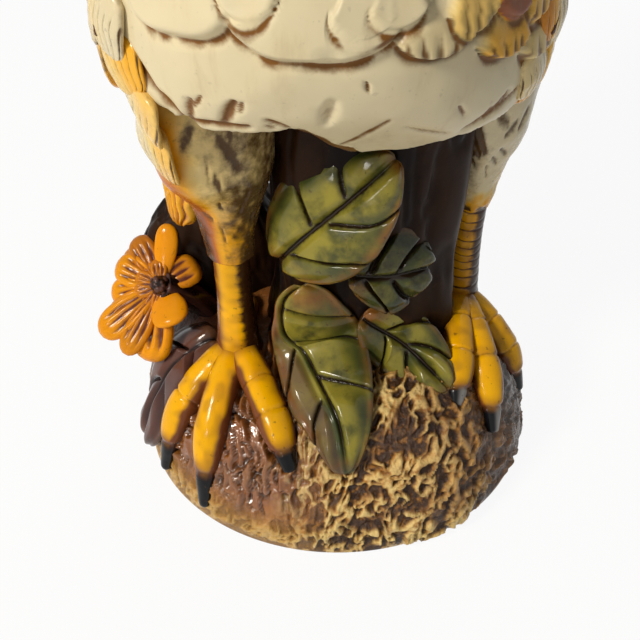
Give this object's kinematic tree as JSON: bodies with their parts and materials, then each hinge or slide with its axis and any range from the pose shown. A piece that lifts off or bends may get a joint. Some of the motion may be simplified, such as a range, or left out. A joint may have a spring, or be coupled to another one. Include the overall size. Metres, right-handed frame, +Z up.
{
  "type": "ceramic rooster figurine",
  "caption": "Glazed ceramic rooster standing on a carved rock mound, propped by a leafy plant column with a flower at one foot; an ornament that rests on its foot ring.",
  "frame": {"origin": "middle of the bounding box, on the table plane under the foot ring", "axes": "+Z up, the bird faces -Y, +X is the bird's own left"},
  "size_m": [0.193, 0.3514, 0.4397],
  "materials": {
    "cream_glaze": "gloss glaze",
    "amber_glaze": "gloss glaze",
    "plume_glaze": "gloss glaze",
    "leaf_glaze": "gloss glaze",
    "brown_glaze": "gloss glaze",
    "bark_glaze": "gloss glaze",
    "stone_glaze": "satin brown glaze over a carved rock texture",
    "orange_glaze": "gloss glaze",
    "red_glaze": "gloss glaze",
    "horn_glaze": "gloss glaze",
    "black_glaze": "gloss black glaze"
  },
  "bodies": {
    "root": {"beak_lower": "horn_glaze", "beak_upper": "horn_glaze", "comb": "red_glaze", "flank_plume": "plume_glaze", "flower_centre": "brown_glaze", "flower_inner_petals": "orange_glaze", "flower_outer_petals": "orange_glaze", "flower_stem": "brown_glaze", "leaf_front": "leaf_glaze", "leaf_ground": "brown_glaze", "leaf_shaded": "leaf_glaze", "leaf_side": "leaf_glaze", "leaf_upper": "leaf_glaze", "left_ear_lobe": "red_glaze", "left_eye": "black_glaze", "left_shank": "amber_glaze", "left_sickle_1": "plume_glaze", "left_sickle_2": "plume_glaze", "left_sickle_3": "plume_glaze", "left_sickle_4": "plume_glaze", "left_thigh": "plume_glaze", "left_toe_hind": "amber_glaze", "left_toe_inner": "amber_glaze", "left_toe_middle": "amber_glaze", "left_toe_outer": "amber_glaze", "left_wattle": "red_glaze", "left_wing": "plume_glaze", "neck_and_head": "cream_glaze", "plant_bank": "bark_glaze", "plant_column": "bark_glaze", "right_ear_lobe": "red_glaze", "right_eye": "black_glaze", "right_shank": "amber_glaze", "right_sickle_1": "plume_glaze", "right_sickle_2": "plume_glaze", "right_sickle_3": "plume_glaze", "right_sickle_4": "plume_glaze", "right_thigh": "plume_glaze", "right_toe_hind": "amber_glaze", "right_toe_inner": "amber_glaze", "right_toe_middle": "amber_glaze", "right_toe_outer": "amber_glaze", "right_wattle": "red_glaze", "right_wing": "plume_glaze", "rock_base": "stone_glaze", "tail_core": "plume_glaze", "torso": "cream_glaze"}
  },
  "joints": []
}
